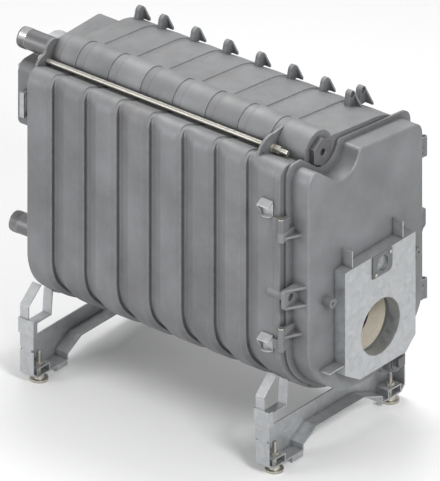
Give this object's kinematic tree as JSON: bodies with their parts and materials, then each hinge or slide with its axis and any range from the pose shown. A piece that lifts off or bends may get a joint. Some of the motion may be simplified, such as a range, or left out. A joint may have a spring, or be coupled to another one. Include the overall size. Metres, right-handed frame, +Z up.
{
  "type": "boiler body",
  "caption": "Sectional cast-iron boiler block with hinged burner door, flue collector, tie rods and folded rails on levelling feet.",
  "frame": {"origin": "on the floor, midway between the four levelling feet", "axes": "+Z up, -Y out of the burner door, +Y towards the flue and pipe stubs, +X to the right seen from the door"},
  "size_m": [0.5201, 0.948, 0.8233],
  "materials": {
    "cast_iron": "raw casting, dull",
    "nipple_steel": "machined",
    "galvanised_sheet": "galvanised sheet",
    "pipe_steel": "plain pipe steel",
    "sight_glass": "clear",
    "sealing_rope": "braided fibre",
    "fibre_board": "pressed ceramic fibre",
    "zinc_steel": "zinc plated"
  },
  "bodies": {
    "block": {"collector_clip": "galvanised_sheet", "collector_gasket": "sealing_rope", "collector_nuts": "zinc_steel", "collector_studs": "zinc_steel", "flue_collector": "cast_iron", "flue_spigot": "galvanised_sheet", "foot_nuts": "zinc_steel", "front_left_cap_clip": "galvanised_sheet", "front_left_cradle": "galvanised_sheet", "front_left_foot": "zinc_steel", "front_rail": "galvanised_sheet", "front_right_cap_clip": "galvanised_sheet", "front_right_cradle": "galvanised_sheet", "front_right_foot": "zinc_steel", "front_section": "cast_iron", "hex_plug": "pipe_steel", "lower_hinge_pin": "zinc_steel", "lower_nipples": "nipple_steel", "lower_rear_ear": "cast_iron", "lower_side_bracket": "galvanised_sheet", "lower_tie_rod": "zinc_steel", "middle_section_1": "cast_iron", "middle_section_2": "cast_iron", "middle_section_3": "cast_iron", "middle_section_4": "cast_iron", "middle_section_5": "cast_iron", "middle_section_6": "cast_iron", "rear_ear_screws": "zinc_steel", "rear_left_cap_clip": "galvanised_sheet", "rear_left_cradle": "galvanised_sheet", "rear_left_foot": "zinc_steel", "rear_rail": "galvanised_sheet", "rear_right_cap_clip": "galvanised_sheet", "rear_right_cradle": "galvanised_sheet", "rear_right_foot": "zinc_steel", "rear_section": "cast_iron", "return_stub": "pipe_steel", "square_plug": "pipe_steel", "supply_stub": "pipe_steel", "tie_rod_nuts": "zinc_steel", "tie_rod_washers": "zinc_steel", "upper_hinge_pin": "zinc_steel", "upper_nipples": "nipple_steel", "upper_rear_ear": "cast_iron", "upper_side_bracket": "galvanised_sheet", "upper_tie_rod": "zinc_steel"},
    "door": {"door": "cast_iron", "door_seal": "sealing_rope", "door_insulation": "fibre_board", "burner_box": "galvanised_sheet", "burner_sleeve": "galvanised_sheet", "sight_port": "galvanised_sheet", "sight_glass": "sight_glass", "sight_port_screws": "zinc_steel"}
  },
  "joints": [
    {"name": "door_hinge", "type": "hinge", "parent": "block", "child": "door", "pos_m": [-0.242, -0.3817, 0.49], "axis": [0, 0, -1], "range_deg": [0, 100]}
  ]
}
